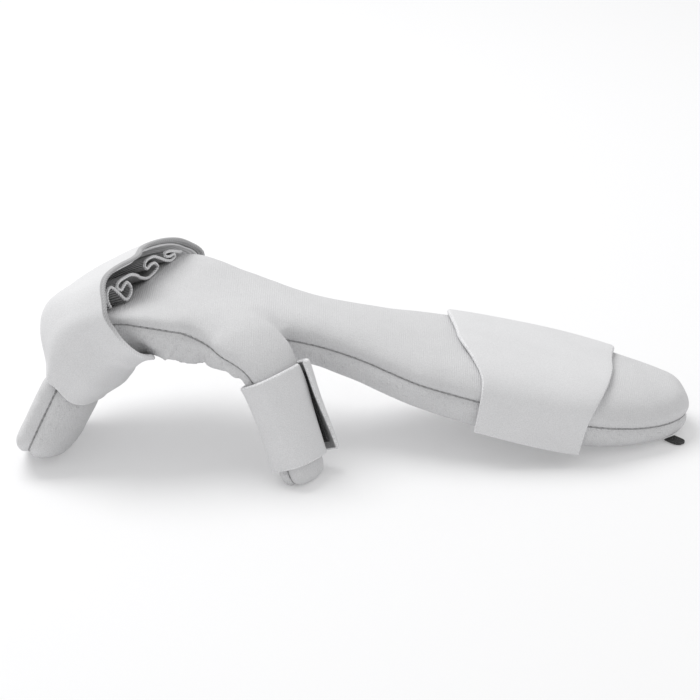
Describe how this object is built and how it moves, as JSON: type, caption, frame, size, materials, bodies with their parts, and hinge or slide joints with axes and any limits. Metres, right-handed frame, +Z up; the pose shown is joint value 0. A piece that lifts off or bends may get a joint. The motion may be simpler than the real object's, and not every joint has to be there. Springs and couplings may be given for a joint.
{
  "type": "hand and finger night splint",
  "caption": "Padded fabric resting splint for a right hand: arched palm rest, thumb tongue, and straps over fingers, thumb and forearm, with a folded finger separator.",
  "frame": {"origin": "middle of the bounding box on the table that the splint lies on", "axes": "+X from the fingertips towards the elbow, +Y towards the little finger's side, +Z up from the table; the hand's back faces up"},
  "size_m": [0.359, 0.1356, 0.1024],
  "materials": {
    "cover": "light cool grey brushed knit, matt, lightly pilled below the seam",
    "strap": "light grey foam laminate with a smooth loop face, matt",
    "lining": "grey finely ribbed knit, matt",
    "separator": "dark grey ribbed knit with a pale overlocked edge, matt",
    "hook": "dark hook tape, matt"
  },
  "bodies": {
    "root": {"pad_body": "cover", "finger_strap": "strap", "finger_strap_lining": "lining", "finger_separator": "separator", "forearm_strap": "strap", "thumb_strap": "strap", "thumb_strap_hook": "hook", "closure_tab": "hook"}
  },
  "joints": []
}
